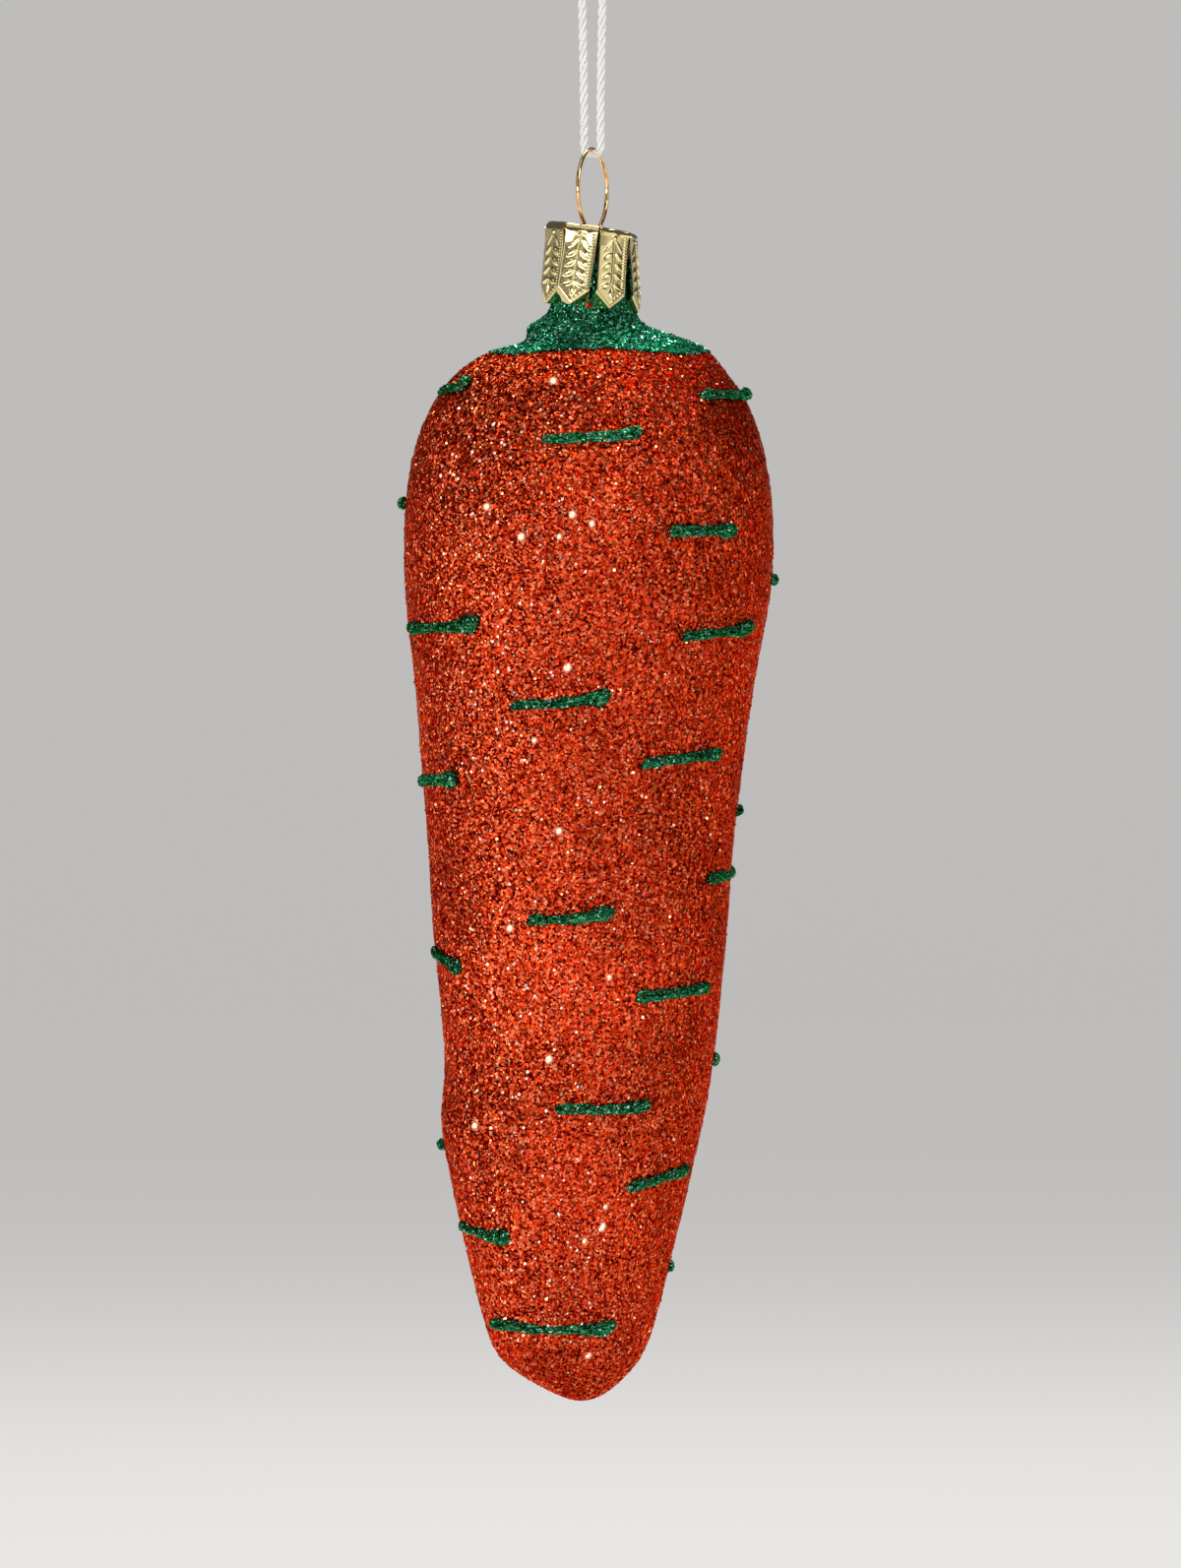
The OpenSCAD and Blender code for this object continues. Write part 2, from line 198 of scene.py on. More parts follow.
# Flakes that face the main softbox: angle from the front in degrees, height in mm and radius in mm
GLINTS = [
    (-15, -52.5, 0.4), (-6, -68.4, 0.42), (0, -69.5, 0.36), (-22, -71, 0.42), (-34, -67.4, 0.36),
    (-10, -71, 0.3), (-8, -86.4, 0.48), (-12, -105.7, 0.38), (-32, -117.2, 0.38), (7, -123, 0.3),
    (-18, -132.7, 0.44), (5, -152.6, 0.58), (-3, -168, 0.38), (-20, -95, 0.28), (-53, -140.7, 0.36),
    (7, -150.2, 0.28), (-4, -154.3, 0.28),
]
GLINT_LIFT = 0.24 * MM
# A distance from the middle line that is well outside the carrot
OUTSIDE = 100 * MM
# A wider flake under each of them, and small flakes round it, which the finish colours as a painted halo
HALO_LIFT = 0.16 * MM
HALO_WIDTH = 0.2 * MM
NEAR_COUNT = 14
NEAR_SPREAD = 0.36 * MM
NEAR_LIFT = 0.1 * MM
NEAR_R = 0.14 * MM
NEAR_TILT = 0.05

# Small sparks that face it too: their angles crowd round one middle, with heights and radii in mm
SPARKS = 250
SPARK_MIDDLE = -30
SPARK_SPREAD = 16
SPARK_ENDS = (-75, 30)
SPARK_HEIGHTS = (-168, -53)
SPARK_SIZES = (0.11, 0.22)
SPARK_LIFT = 0.08 * MM
SPARK_TILT = 0.06

# Floor under the hanging carrot
FLOOR_Z = -215 * MM
STAGE_R = 5
STAGE_H = 0.8
STAGE_SIDES = 96
STAGE_BEND = 0.7
STAGE_BEND_STEPS = 24
FLOOR_GLOW = 0.46
FLOOR_DIM = 0.55

# Light: softboxes with their place, width and height in metres and power in watts
WORLD_GLOW = 0.11
LIGHT_AIM = Vector((0, 0, -0.1))
KEY_PLACE = (-0.98, -0.68, 0.3)
SOFTBOXES = [
    ("key", KEY_PLACE, (0.62, 0.8), 1.7),
    ("fill", (1.5, -1.0, 0.6), (1.2, 0.9), 4),
    ("front", (0.8, -0.85, 0.7), (0.5, 0.5), 4.6),
    ("low", (-0.45, -0.95, -0.01), (0.8, 0.14), 6),
    ("top", (0.1, 0.5, 0.9), (0.6, 0.4), 8.5),
    ("sky", (-0.3, -0.35, 1.3), (1.6, 1.2), 4),
]


# Selecting and shaping


def select_nothing():
    bpy.ops.object.select_all(action="DESELECT")


def only(piece):
    """Selects one object and makes it active."""
    select_nothing()
    piece.select_set(True)
    bpy.context.view_layer.objects.active = piece


def edit(piece):
    """Opens one object in edit mode."""
    only(piece)
    bpy.ops.object.mode_set(mode="EDIT")
    bpy.ops.mesh.select_mode(type="VERT")


def leave_edit():
    bpy.ops.object.mode_set(mode="OBJECT")


def pick_all():
    bpy.ops.mesh.select_all(action="SELECT")


def pick(piece, chosen):
    """Selects, in edit mode, the vertices that a test chooses, and nothing else."""
    bpy.ops.mesh.select_all(action="DESELECT")
    mesh = bmesh.from_edit_mesh(piece.data)
    for vertex in mesh.verts:
        vertex.select_set(bool(chosen(vertex)))
    mesh.select_flush_mode()
    bmesh.update_edit_mesh(piece.data)


def settle(piece):
    """Puts the place, turn and scale of a new object into its mesh."""
    only(piece)
    bpy.ops.object.transform_apply(location=True, rotation=True, scale=True)


def face_out(piece):
    """Turns the faces of a piece outwards."""
    edit(piece)
    pick_all()
    bpy.ops.mesh.normals_make_consistent(inside=False)
    leave_edit()


def cut_facets(piece):
    """Cuts the quads of a piece along their shorter diagonals."""
    edit(piece)
    pick_all()
    bpy.ops.mesh.quads_convert_to_tris(quad_method="SHORTEST_DIAGONAL")
    leave_edit()


def smooth(piece, degrees):
    """Shades a piece smooth, apart from edges sharper than an angle."""
    only(piece)
    bpy.ops.object.shade_smooth_by_angle(angle=math.radians(degrees))


def modify(piece, kind, **settings):
    """Adds a modifier with its settings and applies it."""
    only(piece)
    modifier = piece.modifiers.new(kind, kind)
    for key, value in settings.items():
        setattr(modifier, key, value)
    bpy.ops.object.modifier_apply(modifier=modifier.name)


def join(pieces, name):
    only(pieces[0])
    for piece in pieces[1:]:
        piece.select_set(True)
    bpy.ops.object.join()
    pieces[0].name = name
    pieces[0].data.name = name
    return pieces[0]


def mesh_piece(name, points, faces):
    mesh = bpy.data.meshes.new(name)
    mesh.from_pydata(points, [], faces)
    piece = bpy.data.objects.new(name, mesh)
    bpy.context.scene.collection.objects.link(piece)
    return piece


def copy_of(node, name):
    """A piece with a copy of a node's mesh, its loose triangles merged to quads."""
    piece = bpy.data.objects.new(name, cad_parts[node].data.copy())
    bpy.context.scene.collection.objects.link(piece)
    edit(piece)
    pick_all()
    bpy.ops.mesh.customdata_custom_splitnormals_clear()
    bpy.ops.mesh.remove_doubles(threshold=NODE_MERGE)
    bpy.ops.mesh.tris_convert_to_quads(face_threshold=math.radians(60), shape_threshold=math.radians(60))
    leave_edit()
    return piece


def dress(piece, finish, body, node):
    """Gives a piece its finish, the body that it rides on and the node that it stands for."""
    piece.data.materials.clear()
    piece.data.materials.append(finish)
    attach(piece, body)
    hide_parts(node)
    return piece


# Finishes


class Socket:
    """A shader socket whose arithmetic adds Math nodes."""

    def __init__(self, finish, socket):
        self.finish = finish
        self.socket = socket

    def combine(self, operation, first, second):
        return self.finish.node("Math", {"operation": operation}, {0: first, 1: second}, 0)

    def __add__(self, other):
        return self.combine("ADD", self, other)

    def __radd__(self, other):
        return self.combine("ADD", other, self)

    def __sub__(self, other):
        return self.combine("SUBTRACT", self, other)

    def __rsub__(self, other):
        return self.combine("SUBTRACT", other, self)

    def __mul__(self, other):
        return self.combine("MULTIPLY", self, other)

    def __rmul__(self, other):
        return self.combine("MULTIPLY", other, self)

    def __gt__(self, other):
        return self.combine("GREATER_THAN", self, other)

    def __lt__(self, other):
        return self.combine("LESS_THAN", self, other)


class Finish:
    """A material with one Principled shader, built node by node."""

    def __init__(self, name, **values):
        self.material = bpy.data.materials.new(name)
        self.material.use_nodes = True
        self.tree = self.material.node_tree
        self.shader = self.tree.nodes["Principled BSDF"]
        self.feed(self.shader, {key.replace("_", " "): value for key, value in values.items()})

    def feed(self, node, inputs):
        for key, value in inputs.items():
            if isinstance(value, Socket):
                self.tree.links.new(value.socket, node.inputs[key])
            else:
                node.inputs[key].default_value = value

    def node(self, kind, settings, inputs, output):
        made = self.tree.nodes.new("ShaderNode" + kind)
        for key, value in settings.items():
            if key == "stops":
                while len(made.color_ramp.elements) < len(value):
                    made.color_ramp.elements.new(0.5)
                for element, (position, colour) in zip(made.color_ramp.elements, value):
                    element.position = position
                    element.color = (*colour, 1)
            elif key == "fading":
                made.color_ramp.interpolation = value
            else:
                setattr(made, key, value)
        self.feed(made, inputs)
        return Socket(self, made.outputs[output])

    def place(self, output="Object"):
        return self.node("TexCoord", {}, {}, output)

    def mix(self, share, first, second, blend="MIX"):
        settings = {"data_type": "RGBA", "blend_type": blend}
        return self.node("Mix", settings, {0: share, 6: first, 7: second}, 2)

    def ramp(self, share, stops, fading="LINEAR"):
        return self.node("ValToRGB", {"stops": stops, "fading": fading}, {"Fac": share}, "Color")

    def noise(self, place, scale, detail=2.0):
        return self.node("TexNoise", {}, {"Vector": place, "Scale": scale, "Detail": detail}, "Fac")

    def vector(self, operation, first, second):
        return self.node("VectorMath", {"operation": operation}, {0: first, 1: second}, 0)

    def bump(self, height, strength, distance):
        return self.node(
            "Bump", {}, {"Height": height, "Strength": strength, "Distance": distance}, "Normal"
        )


def grains(finish, place, size):
    """Loose grains of a size: the random colour of each, and its three channels."""
    colour = finish.node("TexVoronoi", {}, {"Vector": place, "Scale": 1 / size, "Randomness": 1.0}, "Color")
    channels = [finish.node("SeparateColor", {}, {"Color": colour}, channel) for channel in range(3)]
    return colour, channels


def glitter_finish(name, tones, strays, stray_share, patch, edge_tint, speck):
    """Glitter in clear glue: every grain has its own tone, tilt and gloss, and one speck is foreign."""
    finish = Finish(name, Metallic=0.95, Specular_Tint=edge_tint, Specular_IOR_Level=0.2)
    place = finish.place()
    colour, (red, green, blue) = grains(finish, place, GRAIN)
    tone = finish.ramp(red, tones)
    stray = finish.ramp(green, strays, "CONSTANT")
    tone = finish.mix(blue > 1 - stray_share, tone, stray)
    speck_place, speck_r, speck_tone = speck
    gap = finish.node("VectorMath", {"operation": "DISTANCE"}, {0: place, 1: speck_place}, "Value")
    tone = finish.mix(gap < speck_r, tone, speck_tone)
    patches = finish.noise(place, patch)
    shade = finish.ramp(patches, [(0.3, (0.62, 0.62, 0.62)), (0.7, (1, 1, 1))])
    tone = finish.mix(1.0, tone, shade, "MULTIPLY")
    flake = finish.node("Attribute", {"attribute_name": "flake"}, {}, "Fac")
    tilt = finish.vector("SUBTRACT", colour, (0.5, 0.5, 0.5))
    lean = GRAIN_TILT * (flake < LOOSE_MARK / 2)
    tilt = finish.node("VectorMath", {"operation": "SCALE"}, {0: tilt, "Scale": lean}, 0)
    # Flakes take paler tones than the grains: sparks and glints nearly white and warm, halo flakes bright
    # orange. This is painted highlight and halo on flakes whose real reflection of the main softbox is also
    # there
    tone = finish.mix(0.5 * flake, tone, (*tones[-1][1], 1))
    tone = finish.mix(flake - LOOSE_MARK, tone, (1, 0.9, 0.8, 1))
    tone = finish.mix(flake > (SPARK_MARKS[1] + GLINT_MARK) / 2, tone, (1, 0.88, 0.66, 1))
    facing = finish.node("NewGeometry", {}, {}, "Normal")
    normal = finish.vector("NORMALIZE", finish.vector("ADD", facing, tilt), (0, 0, 0))
    finish.feed(
        finish.shader,
        {"Base Color": tone, "Roughness": (0.12 + 0.28 * blue) * (1 - 0.45 * flake), "Normal": normal},
    )
    return finish.material


def orange_finish():
    tones = [
        (0.0, (0.04, 0.0006, 0.0001)), (0.2, (0.215, 0.005, 0.001)), (0.5, (0.59, 0.031, 0.006)),
        (0.8, (0.85, 0.088, 0.021)), (1.0, (0.96, 0.28, 0.13)),
    ]
    strays = [
        (0.0, (0.95, 0.7, 0.55)), (0.55, (0.9, 0.3, 0.3)),
        (0.8, (0.1, 0.3, 0.12)), (0.92, (0.2, 0.3, 0.7)),
    ]
    return glitter_finish(
        "orange_glitter",
        tones,
        strays,
        stray_share=0.007,
        patch=70,
        edge_tint=(0.92, 0.3, 0.16, 1),
        speck=((9 * MM, -18.6 * MM, -76 * MM), 0.2 * MM, (0.03, 0.2, 0.08, 1)),
    )


def green_finish(name, shade):
    tones = [
        (0.0, (0.004, 0.045, 0.02)), (0.35, (0.012, 0.13, 0.062)), (0.7, (0.028, 0.28, 0.14)),
        (0.9, (0.09, 0.48, 0.28)), (1.0, (0.28, 0.74, 0.52)),
    ]
    tones = [(share, tuple(c * s for c, s in zip(tone, shade))) for share, tone in tones]
    strays = [
        (0.0, (0.5, 0.85, 0.75)), (0.5, (0.2, 0.5, 0.6)),
        (0.75, (0.45, 0.04, 0.015)), (0.93, (0.2, 0.22, 0.6)),
    ]
    return glitter_finish(
        name,
        tones,
        strays,
        stray_share=0.03,
        patch=160,
        edge_tint=(0.2 * shade[0], 0.75 * shade[1], 0.5 * shade[2], 1),
        speck=((-0.4 * MM, -5.1 * MM, -43 * MM), 0.5 * MM, (0.27, 0.03, 0.011, 1)),
    )


def cap_finish():
    finish = Finish("stamped_cap", Metallic=1.0)
    place = finish.place()
    cloud = finish.noise(place, 420, 4.0)
    smear = finish.noise(place, 2600, 3.0)
    golds = [(0.3, (0.73, 0.58, 0.25)), (0.6, (0.84, 0.7, 0.34)), (0.8, (0.9, 0.79, 0.44))]
    colour = finish.ramp(cloud, golds)
    raised = finish.node("Attribute", {"attribute_name": "raised"}, {}, "Fac")
    # The flat ground between the stampings takes a darker gold as painted shade; raised stampings and the
    # fold stay lighter, partly as rubbed wear
    colour = finish.mix(raised, (0.56, 0.46, 0.22, 1), colour)
    finish.feed(
        finish.shader,
        {
            "Base Color": colour,
            "Roughness": 0.06 + 0.16 * smear,
            "Normal": finish.bump(smear, 0.2, 0.02 * MM),
        },
    )
    return finish.material


def wire_finish():
    finish = Finish("bent_wire", Metallic=1.0)
    place = finish.place()
    cloud = finish.noise(place, 500, 3.0)
    drawn = finish.noise(place, 5200, 2.0)
    coppers = [(0.3, (0.6, 0.33, 0.13)), (0.55, (0.8, 0.52, 0.24)), (0.8, (0.88, 0.66, 0.36))]
    colour = finish.ramp(cloud, coppers)
    finish.feed(
        finish.shader,
        {
            "Base Color": colour,
            "Roughness": 0.05 + 0.12 * cloud,
            "Normal": finish.bump(drawn, 0.15, 0.01 * MM),
        },
    )
    return finish.material


def cord_finish():
    """White satin yarn, whose fibres run along each ply."""
    finish = Finish("twisted_cord", Sheen_Weight=0.15, Sheen_Roughness=0.4, Specular_IOR_Level=0.35)
    fibre_place = finish.node("Mapping", {}, {"Vector": finish.place("UV"), "Scale": (900, 14, 1)}, "Vector")
    fibre = finish.noise(fibre_place, 1.0, 3.0)
    cloud = finish.noise(finish.place(), 350)
    whites = [(0.25, (0.68, 0.665, 0.64)), (0.5, (0.78, 0.77, 0.75)), (0.75, (0.83, 0.825, 0.81))]
    colour = finish.ramp(fibre, whites)
    finish.feed(
        finish.shader,
        {
            "Base Color": colour,
            "Roughness": 0.45 + 0.25 * cloud,
            "Normal": finish.bump(fibre, 0.12, 0.03 * MM),
        },
    )
    return finish.material


def glass_finish():
    """Clear blown glass with faint streaks along the neck."""
    finish = Finish("blown_glass", Transmission_Weight=1.0, IOR=1.5, Base_Color=(0.93, 0.97, 0.95, 1))
    place = finish.place()
    streak_place = finish.node("Mapping", {}, {"Vector": place, "Scale": (1, 1, 0.2)}, "Vector")
    streak = finish.noise(streak_place, 500)
    finish.feed(
        finish.shader,
        {"Roughness": 0.02 + 0.06 * streak, "Normal": finish.bump(streak, 0.15, 0.05 * MM)},
    )
    return finish.material


# Camera


def make_camera():
    lens = bpy.data.cameras.new("camera")
    lens.sensor_width = SENSOR
    lens.lens = SENSOR * CAMERA_AWAY / VIEW_HEIGHT
    lens.clip_start = 0.01
    camera = bpy.data.objects.new("camera", lens)
    camera.location = (CAMERA_X, -CAMERA_AWAY, CAMERA_Z)
    camera.rotation_euler = (math.pi / 2, 0, 0)
    bpy.context.scene.collection.objects.link(camera)
    bpy.context.scene.camera = camera


# Cord and knot


def smooth_route(points, spacing):
    """Points at an even spacing on a smooth curve through a list of points."""
    last = len(points) - 1
    fine = []
    for i in range(last):
        a, b = points[max(0, i - 1)], points[i]
        c, d = points[i + 1], points[min(last, i + 2)]
        for k in range(ROUTE_STEPS):
            t = k / ROUTE_STEPS
            second = (2 * a - 5 * b + 4 * c - d) * t * t
            third = (3 * b - a - 3 * c + d) * t**3
            fine.append(0.5 * (2 * b + (c - a) * t + second + third))
    fine.append(points[last])
    total = sum((q - p).length for p, q in zip(fine, fine[1:]))
    step = total / max(2, round(total / spacing))
    route, run = [fine[0]], 0.0
    for p, q in zip(fine, fine[1:]):
        length = (q - p).length
        while run + length >= step * len(route) and length > 0:
            route.append(p.lerp(q, (step * len(route) - run) / length))
        run += length
    if (route[-1] - fine[-1]).length > step / 2:
        route.append(fine[-1])
    return route


def twisted_plies(name, route):
    """Plies laid round a route in a right-handed twist, with a UV map along and round each ply."""
    ways = [(q - p).normalized() for p, q in zip(route, route[1:])]
    ways.append(ways[-1])
    side = ways[0].orthogonal().normalized()
    frames = []
    for k, way in enumerate(ways):
        before = ways[max(0, k - 1)]
        side = before.rotation_difference(way) @ side
        side = (side - way * side.dot(way)).normalized()
        frames.append((side, way.cross(side)))
    step = (route[1] - route[0]).length
    points, faces, marks = [], [], []
    for ply in range(PLIES):
        first = len(points)
        for k, (place, (side, up)) in enumerate(zip(route, frames)):
            twist = 2 * math.pi * (k * step / PLY_LEAD + ply / PLIES)
            out = side * math.cos(twist) + up * math.sin(twist)
            along = up * math.cos(twist) - side * math.sin(twist)
            for j in range(PLY_SIDES):
                turn = 2 * math.pi * j / PLY_SIDES
                outward = out * (PLY_OFFSET + PLY_R * math.cos(turn))
                sideways = along * PLY_R * PLY_STRETCH * math.sin(turn)
                points.append(place + outward + sideways)
        for k in range(len(route) - 1):
            for j in range(PLY_SIDES):
                low, high = first + k * PLY_SIDES, first + (k + 1) * PLY_SIDES
                following = (j + 1) % PLY_SIDES
                faces.append((low + j, low + following, high + following, high + j))
                marks.append([(k * step, j), (k * step, j + 1), ((k + 1) * step, j + 1), ((k + 1) * step, j)])
        last = first + (len(route) - 1) * PLY_SIDES
        faces.append(tuple(first + j for j in reversed(range(PLY_SIDES))))
        faces.append(tuple(last + j for j in range(PLY_SIDES)))
        marks += [[(0, 0)] * PLY_SIDES, [(0, 0)] * PLY_SIDES]
    piece = mesh_piece(name, points, faces)
    layer = piece.data.uv_layers.new(name="along_ply")
    flat = [(along, round_ply / PLY_SIDES) for face in marks for along, round_ply in face]
    for corner, mark in zip(layer.data, flat):
        corner.uv = mark
    smooth(piece, 60)
    return piece


def on_cord(distance, height):
    """A place in the plane of the cord loop, from mm."""
    return (CORD_WAY * distance + Vector((0, 0, height))) * MM


def make_cord(finish):
    """The loop from the knot down to the bight and up again, with its knot."""
    strand = [on_cord(*p) for p in STRAND]
    back = [on_cord(-distance, height) for distance, height in reversed(STRAND)]
    route = smooth_route([*strand, on_cord(0, BIGHT_Z), *back], PLY_STEP)
    cord = twisted_plies("twisted_cord", route)
    for vertex in cord.data.vertices:
        if vertex.co.z < PRESS_Z:
            vertex.co.z = PRESS_Z + (vertex.co.z - PRESS_Z) * PRESS
    dress(cord, finish, "cord", "hanging_cord")
    knot = make_knot(finish)
    on_cord(0, BIGHT_Z)


def make_knot(finish):
    """The cord's end wound round both strands, and two tails that stand up from it."""
    wound = []
    for k in range(KNOT_STEPS + 1):
        share = k / KNOT_STEPS
        turn = 2 * math.pi * KNOT_TURNS * share
        drawn_in = max(0, 1 - min(share, 1 - share) / KNOT_END_SHARE)
        radius = KNOT_R * (1 - KNOT_DRAWN_IN * drawn_in)
        height = KNOT_LOW + (KNOT_HIGH - KNOT_LOW) * share
        wound.append(Vector((radius * math.cos(turn), radius * math.sin(turn), height)) * MM)
    strands = [twisted_plies("wound_end", smooth_route(wound, PLY_STEP))]
    for side in (-1, 1):
        tip = (TAIL_OUT + TAIL_LEN * math.sin(TAIL_LEAN), TAIL_FOOT + TAIL_LEN * math.cos(TAIL_LEAN))
        tail = [on_cord(side * out, height) for out, height in [*TAIL_ROOT, tip]]
        strands.append(twisted_plies("tail", smooth_route(tail, PLY_STEP)))
    knot = join(strands, "tied_knot")
    return dress(knot, finish, "cord", "cord_knot")


# Wire hanger


def make_wire(finish):
    """A round section swept over half of the ring, the waist and one leg, then mirrored."""
    leg_r = (LEG_LEN**2 / 4 + LEG_BOW**2) / (2 * LEG_BOW)
    splay = math.asin(LEG_LEN / 2 / leg_r)
    waist = Vector((LEG_U + WAIST_R, 0, CAP_Z))
    leg = waist - Vector((math.cos(splay), 0, math.sin(splay))) * (WAIST_R + leg_r)
    select_nothing()
    bpy.ops.mesh.primitive_circle_add(
        vertices=WIRE_SIDES, radius=WIRE_R, location=(0, 0, RING_Z + RING_R), rotation=(0, math.pi / 2, 0)
    )
    wire = bpy.context.object
    settle(wire)
    edit(wire)
    pick_all()
    bends = [
        ((0, 0, RING_Z), math.pi - WAIST_ANGLE, RING_STEPS),
        (waist, WAIST_ANGLE - math.pi / 2 - splay, WAIST_STEPS),
        (leg, 2 * splay, LEG_STEPS),
    ]
    for centre, angle, steps in bends:
        bpy.ops.mesh.spin(steps=steps, angle=-angle, center=centre, axis=(0, 1, 0))
    bpy.ops.mesh.edge_face_add()
    bpy.ops.mesh.inset(thickness=WIRE_R * 0.45, depth=WIRE_R * 0.35)
    pick_all()
    bpy.ops.mesh.symmetrize(direction="POSITIVE_X", threshold=TOUCH)
    pick_all()
    bpy.ops.mesh.remove_doubles(threshold=TOUCH)
    leave_edit()
    face_out(wire)
    wire.rotation_euler.z = math.pi / 2 - HANGER_TURN
    settle(wire)
    smooth(wire, 50)
    wire.name = "bent_wire"
    return dress(wire, finish, "hanger", "wire_hanger")


# Crown cap


def leaf(across, down, middle, half_length, half_width, slope):
    """Height of a leaf-shaped swelling, 1 on its middle."""
    x, y = across - middle[0], down - middle[1]
    along = x * math.cos(slope) + y * math.sin(slope)
    aside = y * math.cos(slope) - x * math.sin(slope)
    fullness = 1 - (along / half_length) ** 2
    if fullness <= 0:
        return 0
    return fullness**0.3 * max(0, 1 - (aside / (half_width * fullness)) ** 2) ** 0.7


def stamping(across, down):
    """Stamped height on a tab in mm: a twig with drooping needles, a dot above, a drop below and pearls."""
    aside = abs(across)
    half, length, point = TAB_W / 2 / MM, TAB_LEN / MM, TAB_POINT / MM
    to_point = ((half - aside) * point + (length - down) * half) / math.hypot(point, half)
    edge = min(half - aside, to_point)
    height = 0.0
    if STEM_ENDS[0] < down < STEM_ENDS[1]:
        height = STEM_H * max(0, 1 - (aside / STEM_HALF) ** 2)
    for rise, middle, half_length, half_width, slope in LEAVES:
        height = max(height, rise * leaf(aside, down, middle, half_length, half_width, math.radians(slope)))
    height = max(height, DOT_H * max(0, 1 - (math.hypot(across, down - DOT_DOWN) / DOT_R) ** 2))
    if across > 0 and down > STAMP_FADE:
        pearls = math.cos(math.pi * down / PEARL_SPACING) ** 2
        height = max(height, PEARL_H * pearls * max(0, 1 - ((edge - PEARL_IN) / PEARL_HALF) ** 2))
    height -= EDGE_DROP * max(0, 1 - edge / EDGE_ROLL) ** 2
    return height * min(1, down / STAMP_FADE)


def stamped_tab(flare):
    """One tab with its stamping, spun over its fold to the flat top. X is outwards."""
    face = TAB_LEN + TAB_POINT
    select_nothing()
    bpy.ops.mesh.primitive_grid_add(x_subdivisions=TAB_COLUMNS, y_subdivisions=TAB_ROWS, size=1)
    tab = bpy.context.object
    tab.scale = (TAB_W, face, 1)
    tab.rotation_euler = (math.pi / 2, 0, math.pi / 2)
    tab.location = (0, 0, -face / 2)
    settle(tab)
    edit(tab)
    for side in (-1, 1):
        pick_all()
        bpy.ops.mesh.bisect(
            plane_co=(0, side * TAB_W / 2, -TAB_LEN),
            plane_no=(0, side * TAB_POINT, -TAB_W / 2),
            clear_outer=True,
        )
    leave_edit()
    root = set()
    # How light the gold is at each point: high stampings lightest as rubbed wear, the flat ground darkest as
    # painted shade, the fold in between
    raised = tab.data.attributes.new("raised", "FLOAT", "POINT")
    for vertex in tab.data.vertices:
        across, down = vertex.co.y / MM, -vertex.co.z / MM
        on_fold = down < TOUCH / MM
        if on_fold:
            root.add(vertex.index)
        bow = (TAB_FALL * abs(across) + TAB_CROWN * (2 * across * MM / TAB_W) ** 2) * min(1, down / BOW_FADE)
        height = stamping(across, down)
        raised.data[vertex.index].value = FOLD_SHINE if on_fold else min(1, max(0, height / BRIGHT_H))
        vertex.co.x += (height - bow) * MM
    fold = Vector((FLAT_A, 0, -FOLD_R))
    seat = fold + Vector((math.cos(flare), 0, math.sin(flare))) * FOLD_R
    tab.data.transform(Matrix.Translation(seat) @ Matrix.Rotation(-flare, 4, "Y"))
    edit(tab)
    pick(tab, lambda vertex: vertex.index in root)
    bpy.ops.mesh.spin(steps=FOLD_STEPS, angle=math.pi / 2 - flare, center=fold, axis=(0, 1, 0))
    leave_edit()
    root_share = 2 * FLAT_A * math.tan(math.pi / CAP_TABS) / TAB_W
    for vertex in tab.data.vertices:
        angle = math.atan2(vertex.co.z - fold.z, vertex.co.x - fold.x)
        share = (angle - flare) / (math.pi / 2 - flare)
        if share > -0.001 and vertex.co.z > seat.z - TOUCH:
            vertex.co.y *= 1 + (root_share - 1) * min(1, max(0, share)) ** 2
    return tab


def make_cap(finish):
    """Eight tabs round a flat top with two holes, given the sheet's thickness and tilted on the hanger."""
    tabs = []
    for k in range(CAP_TABS):
        turn = CAP_TURN + 2 * math.pi * k / CAP_TABS
        tab = stamped_tab(TAB_FLARE + CAP_TILT * math.cos(turn))
        tab.data.transform(Matrix.Rotation(turn, 4, "Z"))
        tabs.append(tab)
    for side in (-1, 1):
        select_nothing()
        place = RING_WAY * (side * LEG_U)
        bpy.ops.mesh.primitive_circle_add(vertices=HOLE_SIDES, radius=HOLE_R, location=place)
        settle(bpy.context.object)
        tabs.append(bpy.context.object)
    cap = join(tabs, "stamped_cap")
    edit(cap)
    pick_all()
    bpy.ops.mesh.remove_doubles(threshold=TAB_MERGE)
    pick(cap, lambda vertex: abs(vertex.co.z) < TOUCH)
    bpy.ops.mesh.fill(use_beauty=True)
    leave_edit()
    face_out(cap)
    for vertex in cap.data.vertices:
        if vertex.co.z > -FOLD_R and vertex.co.xy.length > FLAT_A:
            vertex.co += vertex.normal * noise.noise(vertex.co / DENT_SPACING) * DENT
    modify(cap, "SOLIDIFY", thickness=SHEET_T, offset=-1)
    tilt = Matrix.Translation((0, 0, CAP_Z)) @ Matrix.Rotation(CAP_TILT, 4, "Y")
    cap.data.transform(tilt @ Matrix.Translation((0, 0, SHEET_T / 2)))
    smooth(cap, 40)
    return dress(cap, finish, "cap", "crown_cap")


# Glass


def make_glass(finish):
    """The blown shell with the rim of its neck fire-polished round."""
    glass = copy_of("glass_shell", "blown_glass")
    rim = max(vertex.co.z for vertex in glass.data.vertices)
    edit(glass)
    pick(glass, lambda vertex: vertex.co.z > rim - NECK_BAND)
    bpy.ops.mesh.bevel(offset=NECK_ROUND, segments=3, affect="EDGES")
    leave_edit()
    smooth(glass, 40)
    return dress(glass, finish, "carrot", "glass_shell")


# Glitter


def tree_of(piece):
    """A search tree over a piece's faces."""
    points = [vertex.co for vertex in piece.data.vertices]
    return BVHTree.FromPolygons(points, [tuple(face.vertices) for face in piece.data.polygons])


